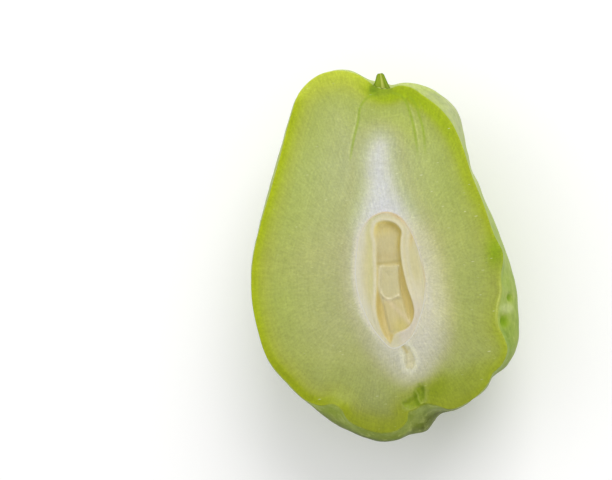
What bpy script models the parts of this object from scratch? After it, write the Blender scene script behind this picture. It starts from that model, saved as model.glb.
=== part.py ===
"""Half of a chayote squash, cut lengthwise through the stem and lying on its back with the cut face up.

Four solids: the squash half itself (skin and flesh grown as one piece, with the pocket that holds the
seed), the seed coat that lines the pocket, the seed with its open hollow, and the stub of the stem.

The shape is worked out in a design frame: the cut plane is z = 0, x is to the right and y towards the
stem, and the seed's middle is the origin. At the end everything moves so that the lowest point is on
z = 0 under the middle of the whole half's box.
"""

import math

import bpy
import numpy as np
from mathutils import Vector, noise

MM = 0.001

# ---- Driving dimensions, in millimetres -------------------------------------------------------------

BACK_DEPTH = 42.5  # cut face to the deepest point of the back, before its lobes and lumps
WIDEST_DEPTH = 11.0  # depth below the cut at which the outline is widest
FLAT_SPOT = 0.5  # how much of the back's lowest point is flat, where the half rests
POLE = (-4.0, 12.0)  # where the back is deepest
NECK_THINNING = 0.22  # share of the depth that the stem end loses
NECK_FROM, NECK_TO = 14.0, 56.0  # where along the fruit that thinning starts and is complete

CUT_OUTLINE = (  # the edge of the cut face, round from the stem's right-hand side by way of the left
    (8.3, 62.4), (5.8, 62.6), (3.4, 63.7), (1.4, 65.7), (-2.1, 68.7), (-7.7, 70.9), (-14.4, 70.7),
    (-21.5, 66.3), (-26.2, 57.5), (-30.8, 46.3), (-35.4, 35.3), (-40.3, 24.2), (-44.3, 12.4),
    (-46.0, 1.6), (-45.3, -10.1), (-43.2, -19.9), (-37.6, -28.5), (-31.2, -35.6), (-27.5, -37.2),
    (-23.3, -37.3), (-21.2, -39.0), (-19.6, -42.4), (-14.0, -46.4), (-8.4, -48.4), (-3.4, -47.9),
    (-0.2, -45.2), (0.4, -42.9), (3.0, -42.0), (5.6, -40.7), (9.1, -41.6), (13.9, -43.6),
    (18.5, -42.6), (23.7, -39.9), (27.0, -36.9), (28.7, -34.3), (31.9, -31.7), (34.4, -26.8),
    (33.6, -22.8), (32.5, -18.7), (33.1, -14.5), (35.1, -8.5), (35.2, -4.0), (36.6, 3.5),
    (35.2, 9.7), (33.1, 20.4), (30.8, 29.8), (28.9, 40.3), (26.6, 47.7), (22.6, 54.5), (18.9, 58.9),
    (14.5, 62.1), (11.1, 62.8),
)
WIDEST_OUTLINE = (  # the half's outline at WIDEST_DEPTH, where its lobes stand out past the cut
    (8.1, 65.3), (4.6, 66.7), (1.2, 67.9), (-5.6, 71.8), (-14.9, 71.3), (-22.3, 67.0),
    (-27.3, 57.8), (-31.7, 46.8), (-36.5, 35.8), (-41.4, 24.5), (-45.6, 11.6), (-47.1, 0.0),
    (-46.4, -10.6), (-43.6, -21.2), (-38.0, -29.3), (-31.3, -36.0), (-26.1, -41.6), (-20.4, -45.5),
    (-13.7, -49.7), (-7.7, -51.1), (-4.6, -51.2), (-1.8, -50.3), (1.0, -49.6), (3.5, -48.6),
    (6.2, -46.2), (9.3, -44.3), (13.9, -43.8), (20.3, -41.1), (25.4, -37.9), (27.6, -34.6),
    (32.0, -31.7), (35.9, -26.4), (37.4, -18.9), (37.8, -10.1), (37.5, 0.0), (35.6, 10.4),
    (32.6, 21.4), (31.3, 28.4), (29.6, 33.7), (28.9, 39.2), (28.3, 45.5), (27.5, 52.3),
    (23.1, 58.7), (17.3, 63.3), (12.5, 65.0),
)

AXIS_ENDS_X = 5.0  # the fruit's own axis, at the stem and at the blossom end
AXIS_BOW = 8.5  # how far that axis bows to the left between them
AXIS_MIDDLE_Y, AXIS_HALF_Y = 11.0, 52.0
FURROWS_DEG = (-54.0, -126.0)  # the two furrows on the back, as angles about the fruit's axis
FURROW_DEPTH = 1.7
FURROW_END_DEPTH = 1.8  # added towards both ends of the fruit
FURROW_WIDTH = 3.2
FURROW_REACH = (13.0, 28.0)  # distances from the axis between which the furrows set in
FURROW_SOFTNESS = 0.3  # rounds the bottom of the furrows, as a share of their width
FURROW_WANDER = ((0.05, 9.0, 0.0), (0.03, 3.7, 1.0))  # (angle, length along the fruit, phase)
ENDS_FROM, ENDS_TO = 18.0, 50.0  # how far from the fruit's middle its ends begin and are complete
LOBES = 5  # in the round of the whole fruit
LOBE_SWELL = 1.1  # how far the lobes between the furrows stand out
LOBE_REACH = 30.0  # distance from the axis at which the lobes have all of that swell
RELIEF_FADE = 9.0  # the relief grows from nothing at the cut to its full height at this depth
LUMPS = ((24.0, 1.0), (9.0, 0.35))  # (size, height) of the lumps in the skin
NOISE_STEP = (17.3, 5.1, 9.7)  # from one sort of lump's place in the noise to the next
PUCKER_FROM, PUCKER_TO = -14.0, -44.0  # the folds that gather at the blossom end
PUCKER_HEIGHT = 1.3
PUCKER_REACH = 26.0  # distance from the axis at which those folds have all of their height
PUCKER_FOLDS, PUCKER_STRETCH = 2.2, 0.03  # folds per radian about the axis; change along the fruit
SPINE_ENDS = (-22.0, 42.0)  # the relief stands straight out from the axis between these heights

SEED_OUTLINE = (  # the mouth of the pocket that the seed lies in
    (2.1, 22.0), (-3.9, 20.9), (-7.6, 17.0), (-10.2, 9.6), (-11.4, -0.1), (-9.9, -9.1),
    (-6.1, -17.5), (-1.9, -22.0), (3.5, -20.2), (8.2, -13.5), (11.4, -3.2), (11.1, 5.6),
    (9.0, 14.5), (5.6, 20.2),
)
POCKET_DEPTH = 10.0
BOWL_FLATNESS, BOWL_STEEPNESS = 2.4, 0.55  # powers that give the bowl a flat floor and steep walls
COAT_THICKNESS = 0.5
GAP = 0.3  # between pieces that touch
COAT_INSIDE = GAP + COAT_THICKNESS  # how far the coat's inner face is set in from the pocket
SEED_INSET = COAT_INSIDE + GAP
SET_BELOW_CUT = 0.2  # the seed, its coat and the stem end this far under the cut plane

HOLLOW_OUTLINE = (  # the mouth of the hollow between the seed's two lobes
    (0.9, 19.4), (-2.1, 19.2), (-3.4, 16.8), (-3.4, 12.0), (-3.9, 7.5), (-4.3, 2.5), (-5.0, -2.5),
    (-5.4, -6.5), (-4.9, -11.0), (-4.0, -15.7), (-2.6, -19.4), (-0.4, -17.2), (3.5, -16.1),
    (5.2, -13.8), (6.3, -9.5), (5.7, -4.6), (4.8, 0.5), (4.7, 6.5), (4.5, 10.5), (5.3, 13.0),
    (5.8, 15.2), (4.4, 17.8),
)
HOLLOW_CENTRE = (0.4, 1.5)
SEED_WALL = 1.4  # the least thickness of seed under the hollow
BASIN_DEPTH = 3.6  # the open upper end of the hollow
SHELF_DEPTH = 2.4  # the middle, where the embryo lies
TONGUE_DEPTH = 1.2  # the embryo's lower end, near the surface
BASIN_START_Y, SHELF_TOP_Y, SHELF_END_Y, TONGUE_TIP_Y = 8.0, 4.5, -5.0, -16.0

STEM_X = 5.5
STEM_TIP_Y = 67.8
STEM_BASE_RADIUS, STEM_TIP_RADIUS = 2.4, 1.1
STEM_RIBS = 5
STEM_RIB_HEIGHT = 0.12  # share of the radius
STEM_TAPER = 1.3  # power of the stem's flare towards its base

# ---- Mesh density ------------------------------------------------------------------------------------

OUTLINE_STEPS = 3  # points per span of the cut outline
RADIUS_STEPS = 24  # points per span where a radius is read off an outline
SEED_POINTS = 56
SIDE_RINGS = 5
DOME_RINGS = 15
BOWL_RINGS = 6
HOLLOW_RINGS = (1.0, 0.88, 0.74, 0.6, 0.46, 0.32, 0.16)
STEM_POINTS, STEM_RINGS = 24, 6
PIT_STEPS = 8  # times that the height of the skin under the stem is worked out again from itself

SHARP_EDGE_DEG = 40.0

# ---- Materials: colour, roughness --------------------------------------------------------------------

LOOKS = {
    "squash_half": ((0.42, 0.52, 0.14), 0.45),
    "seed_coat": ((0.78, 0.60, 0.28), 0.40),
    "seed": ((0.80, 0.74, 0.48), 0.40),
    "stem_stub": ((0.28, 0.42, 0.08), 0.55),
}


# ---- Curves ------------------------------------------------------------------------------------------


def smoothstep(low, high, value):
    """0 below low, 1 above high, smooth between; low may be the larger."""
    t = np.clip((value - low) / (high - low), 0.0, 1.0)
    return t * t * (3.0 - 2.0 * t)


def closed_curve(points, steps):
    """A smooth closed curve through the points, with steps samples on each span."""
    p = np.array(points, float)
    after, before = np.roll(p, -1, axis=0), np.roll(p, 1, axis=0)
    ahead = np.linalg.norm(after - p, axis=1)[:, None]
    behind = np.linalg.norm(p - before, axis=1)[:, None]
    slope = ((after - p) / ahead * behind + (p - before) / behind * ahead) / (ahead + behind)
    next_slope = np.roll(slope, -1, axis=0)
    rows = []
    for t in np.arange(steps) / steps:
        t2, t3 = t * t, t * t * t
        rows.append(
            (2 * t3 - 3 * t2 + 1) * p
            + (t3 - 2 * t2 + t) * ahead * slope
            + (3 * t2 - 2 * t3) * after
            + (t3 - t2) * ahead * next_slope
        )
    return np.stack(rows, axis=1).reshape(-1, 2)


def polar(curve, centre=(0.0, 0.0)):
    """(angles, radii) of a curve about a centre that sees all of it."""
    x, y = (curve - np.array(centre)).T
    return np.arctan2(y, x), np.hypot(x, y)


def radius_at(points, angles, centre=(0.0, 0.0)):
    """The radius of the closed curve through the points, at these angles about the centre."""
    found, radii = polar(closed_curve(points, RADIUS_STEPS), centre)
    order = np.argsort(found)
    return np.interp(angles, found[order], radii[order], period=2 * math.pi)


# ---- The skin ----------------------------------------------------------------------------------------


def axis_x(y):
    """Where the fruit's own axis crosses this height."""
    return AXIS_ENDS_X - AXIS_BOW * np.clip(1 - ((y - AXIS_MIDDLE_Y) / AXIS_HALF_Y) ** 2, 0, 1)


def noise_at(points, size, seed):
    """Smooth noise between about -1 and 1, with lumps of this size."""
    offset = Vector(NOISE_STEP) * seed
    return np.array([noise.noise(Vector(p) / size + offset) for p in points])


def relief(points):
    """How far the skin stands out from its plain shape: lobes, furrows, lumps and blossom-end folds."""
    x, y, z = points.T
    across, reach = x - axis_x(y), np.hypot(x - axis_x(y), z)
    angle = np.arctan2(z, across)
    wander = sum(turn * np.sin(y / length + phase) for turn, length, phase in FURROW_WANDER)
    ends = smoothstep(ENDS_FROM, ENDS_TO, np.abs(y - AXIS_MIDDLE_Y))
    out = LOBE_SWELL * np.cos(LOBES * (angle + math.pi / 2)) * np.clip(reach / LOBE_REACH, 0, 1)
    for furrow in FURROWS_DEG:
        off = np.abs(angle - math.radians(furrow) - wander) * reach / FURROW_WIDTH
        share = np.exp(-np.hypot(off, FURROW_SOFTNESS)) * smoothstep(*FURROW_REACH, reach)
        out -= (FURROW_DEPTH + FURROW_END_DEPTH * ends) * share
    for seed, (size, height) in enumerate(LUMPS):
        out += height * noise_at(points, size, seed + 1)
    folds = PUCKER_FOLDS * np.stack([np.cos(angle), np.sin(angle)], axis=1)
    folds = np.column_stack([folds, y * PUCKER_STRETCH])
    pucker = smoothstep(PUCKER_FROM, PUCKER_TO, y) * smoothstep(0.0, PUCKER_REACH, reach)
    out += PUCKER_HEIGHT * pucker * noise_at(folds, 1.0, len(LUMPS) + 1)
    return out * smoothstep(0.0, RELIEF_FADE, -z)


def outward(points):
    """Unit directions away from the fruit's spine."""
    y = np.clip(points[:, 1], *SPINE_ENDS)
    spine = np.stack([axis_x(y), y, np.full(len(y), -WIDEST_DEPTH)], axis=1)
    away = points - spine
    return away / np.linalg.norm(away, axis=1)[:, None]


def with_relief(points):
    return points + outward(points) * relief(points)[:, None]


def plain_ring(angles, cut_radii, widest_radii, depth_share, dome_turn):
    """One ring of the plain skin: depth_share runs 0 to 1 from the cut down to the widest level, then
    dome_turn runs 0 to a quarter turn from there to the pole."""
    swell = math.sin(depth_share * math.pi / 2)
    radii = (cut_radii + (widest_radii - cut_radii) * swell) * math.cos(dome_turn)
    ring = np.stack([radii * np.cos(angles), radii * np.sin(angles)], axis=1)
    ring += np.array(POLE) * (1 - math.cos(dome_turn))
    dome = (BACK_DEPTH - WIDEST_DEPTH) * math.sin(dome_turn)
    depth = WIDEST_DEPTH * depth_share + dome
    thinning = 1 - NECK_THINNING * smoothstep(NECK_FROM, NECK_TO, ring[:, 1])
    return np.column_stack([ring, -depth * thinning])


def skin_rings():
    """The skin from the back's pole up to the edge of the cut."""
    angles, cut_radii = polar(closed_curve(CUT_OUTLINE, OUTLINE_STEPS))
    widest_radii = radius_at(WIDEST_OUTLINE, angles)
    rings = [
        plain_ring(angles, cut_radii, widest_radii, 1.0, turn)
        for turn in np.linspace(math.pi / 2, 0, DOME_RINGS + 1)
    ]
    rings += [
        plain_ring(angles, cut_radii, widest_radii, share, 0.0)
        for share in np.linspace(1, 0, SIDE_RINGS + 1)[1:]
    ]
    rings = [with_relief(ring) for ring in rings]
    lowest = min(ring[:, 2].min() for ring in rings) + FLAT_SPOT
    for ring in rings:
        ring[:, 2] = np.maximum(ring[:, 2], lowest)
    return angles, rings


# ---- Pieces ------------------------------------------------------------------------------------------


def bowl_depth(share, inset):
    """Depth of the seed's bowl at this share of the way from its middle to its rim."""
    return (POCKET_DEPTH - inset) * (1 - np.minimum(share, 1.0) ** BOWL_FLATNESS) ** BOWL_STEEPNESS


def bowl_rings(angles, inset, top):
    """Rings of the seed's bowl, from its rim at the height top down to its lowest point, set in all
    round by inset."""
    radii = radius_at(SEED_OUTLINE, angles) - inset
    rings = []
    for share in np.cos(np.linspace(0, math.pi / 2, BOWL_RINGS + 1)):
        ring = radii[:, None] * share * np.column_stack([np.cos(angles), np.sin(angles)])
        level = np.minimum(top, -bowl_depth(share, inset))
        rings.append(np.column_stack([ring, np.full(len(angles), level)]))
    return rings


def hollow_depth(x, y):
    """Depth of the hollow's floor: an open basin, the shelf that the embryo lies on, and its tongue.
    The seed keeps its wall all round."""
    shelf_to_basin = smoothstep(SHELF_TOP_Y, BASIN_START_Y, y)
    shelf_to_tongue = smoothstep(SHELF_END_Y, TONGUE_TIP_Y, y)
    shelf = SHELF_DEPTH + (TONGUE_DEPTH - SHELF_DEPTH) * shelf_to_tongue
    depth = shelf + (BASIN_DEPTH - shelf) * shelf_to_basin
    share = np.hypot(x, y) / (radius_at(SEED_OUTLINE, np.arctan2(y, x)) - SEED_INSET)
    return np.minimum(depth, bowl_depth(share, SEED_INSET) - SEED_WALL)


def hollow_rings(angles):
    """Rings of the hollow in the seed, from its rim inwards to its middle."""
    radii = radius_at(HOLLOW_OUTLINE, angles, HOLLOW_CENTRE)
    rings = []
    for share in (*HOLLOW_RINGS, 0.0):
        x = HOLLOW_CENTRE[0] + radii * share * np.cos(angles)
        y = HOLLOW_CENTRE[1] + radii * share * np.sin(angles)
        depth = SET_BELOW_CUT if share == 1.0 else hollow_depth(x, y)
        rings.append(np.column_stack([x, y, -depth * np.ones(len(angles))]))
    return rings


def squash_half():
    angles, rings = skin_rings()
    return rings + bowl_rings(angles, 0.0, 0.0)


def seed_coat():
    angles = np.linspace(0, 2 * math.pi, SEED_POINTS, endpoint=False)
    outside = bowl_rings(angles, GAP, -SET_BELOW_CUT)
    inside = bowl_rings(angles, COAT_INSIDE, -SET_BELOW_CUT)
    return outside[::-1] + inside


def seed():
    angles = np.linspace(0, 2 * math.pi, SEED_POINTS, endpoint=False)
    outside = bowl_rings(angles, SEED_INSET, -SET_BELOW_CUT)
    return outside[::-1] + hollow_rings(angles)


def stem_pit_y(x, z):
    """Where the skin at the stem is, straight up the fruit from these points."""
    y = np.full(len(x), CUT_OUTLINE[0][1])
    swell = np.sin(-z / WIDEST_DEPTH * math.pi / 2)
    for _ in range(PIT_STEPS):
        angles = np.arctan2(y, x)
        cut, widest = radius_at(CUT_OUTLINE, angles), radius_at(WIDEST_OUTLINE, angles)
        y = np.sqrt((cut + (widest - cut) * swell) ** 2 - x * x)
    return with_relief(np.column_stack([x, y, z]))[:, 1]


def stem_stub():
    """A ribbed half cone with its flat side just under the cut plane, standing in the stem pit."""
    turn = np.linspace(0, -math.pi, STEM_POINTS)
    ribs = 1 + STEM_RIB_HEIGHT * np.cos(turn * 2 * STEM_RIBS)
    rings = []
    for share in np.linspace(0, 1, STEM_RINGS + 1):
        flare = STEM_TIP_RADIUS + (STEM_BASE_RADIUS - STEM_TIP_RADIUS) * (1 - share) ** STEM_TAPER
        x = STEM_X + flare * ribs * np.cos(turn)
        z = flare * ribs * np.sin(turn) - SET_BELOW_CUT
        base = stem_pit_y(x, z) + GAP
        rings.append(np.column_stack([x, base + (STEM_TIP_Y - base) * share, z]))
    return rings


# ---- Meshes ------------------------------------------------------------------------------------------


def ring_mesh(name, rings):
    """A closed mesh through the rings, each end closed by a fan to its middle. A first or last ring
    whose points all meet is that middle itself."""
    count = len(rings[0])
    loops = [ring for ring in rings if np.ptp(ring, axis=0).max() > 1e-6]
    points = np.concatenate([*loops, [rings[0].mean(axis=0)], [rings[-1].mean(axis=0)]])
    first_middle, last_middle = len(points) - 2, len(points) - 1
    last = (len(loops) - 1) * count
    faces = []
    for i in range(count):
        j = (i + 1) % count
        faces.append((first_middle, j, i))
        faces.append((last_middle, last + i, last + j))
        for k in range(len(loops) - 1):
            low, high = k * count, (k + 1) * count
            faces.append((low + i, low + j, high + j, high + i))
    mesh = bpy.data.meshes.new(name)
    mesh.from_pydata((points * MM).tolist(), [], faces)
    mesh.validate()
    if signed_volume(mesh) < 0:
        mesh.flip_normals()
    mesh.shade_smooth()
    mesh.set_sharp_from_angle(angle=math.radians(SHARP_EDGE_DEG))
    return mesh


def signed_volume(mesh):
    mesh.calc_loop_triangles()
    corners = np.array([[mesh.vertices[v].co for v in t.vertices] for t in mesh.loop_triangles])
    return np.linalg.det(corners).sum() / 6


def material(name):
    colour, roughness = LOOKS[name]
    made = bpy.data.materials.new(name)
    made.use_nodes = True
    shader = made.node_tree.nodes["Principled BSDF"]
    shader.inputs["Base Color"].default_value = (*colour, 1.0)
    shader.inputs["Roughness"].default_value = roughness
    shader.inputs["Metallic"].default_value = 0.0
    return made


def main():
    for old in list(bpy.data.objects):
        bpy.data.objects.remove(old)
    made = []
    for build in (squash_half, seed_coat, seed, stem_stub):
        name = build.__name__
        piece = bpy.data.objects.new(name, ring_mesh(name, build()))
        piece.data.materials.append(material(name))
        bpy.context.scene.collection.objects.link(piece)
        made.append(piece)
    corners = np.array([v.co for piece in made for v in piece.data.vertices])
    low, high = corners.min(axis=0), corners.max(axis=0)
    middle = (low + high) / 2
    for piece in made:
        piece.location = (-middle[0], -middle[1], -low[2])


main()
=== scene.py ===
"""Looks for the half of a chayote squash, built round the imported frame.

The half lies on its back with the cut face up. Shapes are worked out in millimetres in a design frame,
with the cut plane at z = 0, y towards the stem and the seed's middle at the origin, and then fitted onto
the frame's own boxes. Colours are given as 8-bit sRGB.
"""

import math

import bpy
import numpy as np
from mathutils import Matrix, Vector, noise


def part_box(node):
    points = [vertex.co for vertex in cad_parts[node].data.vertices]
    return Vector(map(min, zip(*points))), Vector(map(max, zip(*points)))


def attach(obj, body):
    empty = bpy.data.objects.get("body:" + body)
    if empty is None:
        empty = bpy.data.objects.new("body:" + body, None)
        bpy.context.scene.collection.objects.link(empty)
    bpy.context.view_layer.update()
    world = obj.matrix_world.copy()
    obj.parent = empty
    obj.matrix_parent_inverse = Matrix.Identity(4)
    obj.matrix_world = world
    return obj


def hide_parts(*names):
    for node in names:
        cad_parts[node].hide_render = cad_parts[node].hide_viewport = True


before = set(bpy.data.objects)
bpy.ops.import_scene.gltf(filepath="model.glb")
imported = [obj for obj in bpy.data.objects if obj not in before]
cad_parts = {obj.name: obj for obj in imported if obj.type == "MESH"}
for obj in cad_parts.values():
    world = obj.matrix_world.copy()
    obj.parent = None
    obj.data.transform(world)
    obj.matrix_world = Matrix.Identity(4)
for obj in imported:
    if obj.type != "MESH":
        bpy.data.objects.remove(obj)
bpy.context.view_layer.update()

MM = 0.001

# ---- The fruit's outline and depth ----

BACK_DEPTH = 42.5
WIDEST_DEPTH = 11.0  # how far under the cut the fruit is widest
FLAT_SPOT = 0.5  # how much of the lowest point is flattened
POLE = (-4.0, 12.0)  # where the back is deepest
NECK_THINNING = 0.22  # how much shallower the neck is
NECK_FROM, NECK_TO = 14.0, 56.0
LIP = 0.35  # radius of the cut's edge

CUT_OUTLINE = (
    (8.4, 61.9), (5.8, 62.1), (3.4, 63.2), (1.4, 65.2), (-2.1, 68.2), (-7.8, 70.4), (-14.5, 70.2),
    (-21.7, 65.8), (-26.4, 57.1), (-31.0, 46.0), (-35.7, 35.0), (-40.6, 24.0), (-44.7, 12.3),
    (-46.4, 1.6), (-45.7, -10.0), (-43.5, -19.8), (-37.9, -28.3), (-31.5, -35.3), (-27.7, -36.9),
    (-23.5, -37.0), (-21.4, -38.7), (-19.8, -42.1), (-14.1, -46.1), (-8.5, -48.0), (-3.4, -47.5),
    (-0.2, -44.9), (0.4, -42.6), (3.0, -41.7), (5.6, -40.4), (9.2, -41.3), (14.0, -43.3),
    (18.6, -42.3), (23.9, -39.6), (27.2, -36.6), (28.9, -34.0), (32.2, -31.5), (34.7, -26.6),
    (33.9, -22.6), (32.8, -18.6), (33.4, -14.4), (35.4, -8.4), (35.7, -4.0), (37.5, 3.3),
    (35.5, 9.6), (33.4, 20.2), (31.0, 29.6), (29.1, 40.0), (26.8, 47.3), (22.6, 53.9), (18.8, 57.7),
    (14.6, 61.3), (11.2, 62.3),
)
WIDEST_OUTLINE = (
    (8.2, 64.8), (4.6, 66.2), (1.2, 67.4), (-5.6, 71.3), (-15.0, 70.8), (-22.5, 66.5), (-27.5, 57.4),
    (-32.0, 46.5), (-36.8, 35.5), (-41.7, 24.3), (-46.0, 11.5), (-47.5, 0.0), (-46.8, -10.5),
    (-44.0, -21.0), (-38.3, -29.1), (-31.6, -35.7), (-26.3, -41.3), (-20.6, -45.2), (-13.8, -49.3),
    (-7.8, -50.7), (-4.6, -50.8), (-1.8, -49.9), (1.0, -49.2), (3.5, -48.2), (6.2, -45.9),
    (9.4, -44.0), (14.0, -43.5), (20.5, -40.8), (25.6, -37.6), (27.8, -34.3), (32.3, -31.5),
    (36.2, -26.2), (37.7, -18.8), (38.1, -10.0), (37.8, 0.0), (35.9, 10.3), (32.9, 21.2),
    (31.6, 28.2), (29.8, 33.4), (29.1, 38.9), (28.5, 45.2), (27.7, 51.9), (23.3, 58.3), (17.4, 62.8),
    (12.6, 64.5),
)

# ---- Relief of the skin ----

AXIS_ENDS_X = 5.0  # the fruit's own axis at both ends
AXIS_BOW = 8.5  # how much further left it lies in the middle
AXIS_MIDDLE_Y, AXIS_HALF_Y = 11.0, 52.0
FURROWS_DEG = (-54.0, -126.0)
FURROW_DEPTH = 1.9
FURROW_END_DEPTH = 2.2
FURROW_WIDTH = 2.4
FURROW_SOFTNESS = 0.15
FURROW_REACH = (13.0, 28.0)  # distances from the axis over which the furrows set in
FURROW_WANDER = ((0.05, 9.0, 0.0), (0.03, 3.7, 1.0))  # turn in radians, length, phase
ENDS_FROM, ENDS_TO = 18.0, 50.0  # distances from the middle over which the ends set in
LOBES = 5
LOBE_SWELL = 1.1
LOBE_REACH = 30.0
RELIEF_FADE = 9.0
LUMPS = ((24.0, 1.0, 1), (9.0, 0.35, 2), (4.0, 0.14, 4), (1.9, 0.06, 5))  # size, height, noise seed
PUCKER_FROM, PUCKER_TO = -14.0, -44.0
PUCKER_HEIGHT = 1.3
PUCKER_REACH = 26.0  # they fade this close to the axis
PUCKER_FOLDS, PUCKER_STRETCH = 2.2, 0.03  # how fine they are round the fruit, and along it
PUCKER_SEED = 3
SPINE_ENDS = (-22.0, 42.0)
CREASE_ENDS = 5.0  # length over which a crease sets in
CREASES = (  # short creases: angle about the axis in radians, from y, to y, depth, width
    (-0.56, -40.0, -22.0, 1.6, 1.5),
    (-2.62, -38.0, -16.0, 1.8, 1.6),
    (-1.70, -44.0, -30.0, 1.3, 1.6),
)
DIMPLES = (  # pits in the skin by the cut's right edge: centre, radius, depth
    ((36.8, -10.4, -5.0), 1.4, 0.9),
    ((34.4, -17.8, -3.0), 2.4, 1.2),
)
DIMPLE_FADE = 2.5  # how far under the cut they have all of their depth

# ---- Fineness of the meshes ----

OUTLINE_STEPS = 8  # samples on each span of the cut's outline
LINE_STEPS = 6  # the same for the lines that distances are measured to
RADIUS_STEPS = 24
DOME_RINGS, SIDE_RINGS, LIP_RINGS, FACE_RINGS, POCKET_RINGS = 62, 20, 3, 140, 8
SEED_POINTS = 300
SEED_FACE_RINGS, BOWL_RINGS = 96, 12
STEM_POINTS, STEM_RINGS = 96, 40


# ---- Curves and noise ----

NOISE_STEP = (17.3, 5.1, 9.7)  # how far apart two noises with different seeds are read


def smoothstep(low, high, value):
    """0 below low, 1 above high, smooth between; low may be the larger."""
    t = np.clip((value - low) / (high - low), 0.0, 1.0)
    return t * t * (3.0 - 2.0 * t)


def between(start, end, share):
    """start where share is 0, end where it is 1."""
    return start + (end - start) * share


def smooth_curve(points, steps, closed=True):
    """A smooth curve through the points, with steps samples on each span."""
    p = np.array(points, float)
    if not closed:
        p = np.concatenate([2 * p[:1] - p[1:2], p, 2 * p[-1:] - p[-2:-1]])
    after, before = np.roll(p, -1, axis=0), np.roll(p, 1, axis=0)
    ahead = np.linalg.norm(after - p, axis=1)[:, None]
    behind = np.linalg.norm(p - before, axis=1)[:, None]
    slope = ((after - p) / ahead * behind + (p - before) / behind * ahead) / (ahead + behind)
    next_slope = np.roll(slope, -1, axis=0)
    rows = []
    for t in np.arange(steps) / steps:
        t2, t3 = t * t, t * t * t
        rows.append(
            (2 * t3 - 3 * t2 + 1) * p
            + (t3 - 2 * t2 + t) * ahead * slope
            + (3 * t2 - 2 * t3) * after
            + (t3 - t2) * ahead * next_slope
        )
    line = np.stack(rows, axis=1).reshape(-1, 2)
    return line if closed else line[steps : -2 * steps + 1]


def polar(curve, centre=(0.0, 0.0)):
    """(angles, radii) of a curve about a centre that sees all of it."""
    x, y = (curve - np.array(centre)).T
    return np.arctan2(y, x), np.hypot(x, y)


def radius_at(points, angles, centre=(0.0, 0.0)):
    """The radius of the closed curve through the points, at these angles about the centre."""
    found, radii = polar(smooth_curve(points, RADIUS_STEPS), centre)
    order = np.argsort(found)
    return np.interp(angles, found[order], radii[order], period=2 * math.pi)


def line_distance(points, line):
    """(distance to the line of points, +1 to its left or -1 to its right) for each point."""
    best, side = np.full(len(points), np.inf), np.ones(len(points))
    for start, along in zip(line[:-1], np.diff(line, axis=0)):
        off = points - start
        t = np.clip(off @ along / (along @ along), 0, 1)
        gap = np.hypot(*(off - t[:, None] * along).T)
        near = gap < best
        best[near] = gap[near]
        side[near] = np.where(along[0] * off[near, 1] > along[1] * off[near, 0], 1.0, -1.0)
    return best, side


def inside(points, outline, centre=(0.0, 0.0), steps=LINE_STEPS):
    """Distance from each point to the closed outline, positive inside it."""
    line = smooth_curve(outline, steps)
    gap, _ = line_distance(points, np.concatenate([line, line[:1]]))
    angles, radii = polar(points, centre)
    return np.where(radii < radius_at(outline, angles, centre), gap, -gap)


def across(points, line):
    """Signed distance from each point to the open smooth line through these points."""
    gap, side = line_distance(points, smooth_curve(line, LINE_STEPS, closed=False))
    return gap * side


def line_gap(points, line):
    """Distance from each point to the open smooth line through these points."""
    return np.abs(across(points, line))


def noise_at(points, size, seed):
    """Smooth noise between about -1 and 1, with lumps of this size, in space or on the flat."""
    offset = Vector(NOISE_STEP) * seed
    return np.array([noise.noise(Vector(p).to_3d() / size + offset) for p in points])


def round_ring(angles, radii, *level):
    """Points at these angles and radii about the seed's middle, flat or at a level."""
    flat = [radii * np.cos(angles), radii * np.sin(angles)]
    return np.column_stack(flat + [np.broadcast_to(z, len(angles)) for z in level])


# ---- The skin's surface ----


def axis_x(y):
    """Where the fruit's own axis crosses this height."""
    return AXIS_ENDS_X - AXIS_BOW * np.clip(1 - ((y - AXIS_MIDDLE_Y) / AXIS_HALF_Y) ** 2, 0, 1)


def furrow_share(off, width):
    """1 in the bottom of a furrow, falling off to either side."""
    return np.exp(-np.hypot(off / width, FURROW_SOFTNESS))


def furrows(y, angle, reach):
    """(depth, how much of it there is at each point) of each long furrow and short crease."""
    wander = sum(turn * np.sin(y / length + phase) for turn, length, phase in FURROW_WANDER)
    ends = smoothstep(ENDS_FROM, ENDS_TO, np.abs(y - AXIS_MIDDLE_Y))
    for turn in FURROWS_DEG:
        share = furrow_share((angle - math.radians(turn) - wander) * reach, FURROW_WIDTH)
        yield FURROW_DEPTH + FURROW_END_DEPTH * ends, share * smoothstep(*FURROW_REACH, reach)
    for turn, low, high, depth, width in CREASES:
        length = smoothstep(low, low + CREASE_ENDS, y) * smoothstep(high, high - CREASE_ENDS, y)
        yield depth, furrow_share((angle - turn - 2 * wander) * reach, width) * length


def puckers(y, angle, reach):
    """Height of the folds that draw together at the blossom end."""
    where = round_ring(angle, PUCKER_FOLDS, y * PUCKER_STRETCH)
    share = smoothstep(PUCKER_FROM, PUCKER_TO, y) * smoothstep(0.0, PUCKER_REACH, reach)
    return PUCKER_HEIGHT * share * noise_at(where, 1.0, PUCKER_SEED)


def relief(points):
    """(how far the skin stands out from its plain shape, how deep in a furrow it is from 0 to 1)."""
    x, y, z = points.T
    sideways = x - axis_x(y)
    reach, angle = np.hypot(sideways, z), np.arctan2(z, sideways)
    out = LOBE_SWELL * np.cos(LOBES * (angle + math.pi / 2)) * np.clip(reach / LOBE_REACH, 0, 1)
    furrow = np.zeros(len(points))
    for depth, share in furrows(y, angle, reach):
        out -= depth * share
        furrow = np.maximum(furrow, share)
    for size, height, seed in LUMPS:
        out += height * noise_at(points, size, seed)
    out += puckers(y, angle, reach)
    out *= smoothstep(0.0, RELIEF_FADE, -z)
    below_cut = smoothstep(0.0, DIMPLE_FADE, -z)
    for centre, radius, depth in DIMPLES:
        share = np.exp(-(((points - centre) ** 2).sum(axis=1) / radius**2)) * below_cut
        out -= depth * share
        furrow = np.maximum(furrow, share)
    return out, furrow * below_cut


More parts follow.
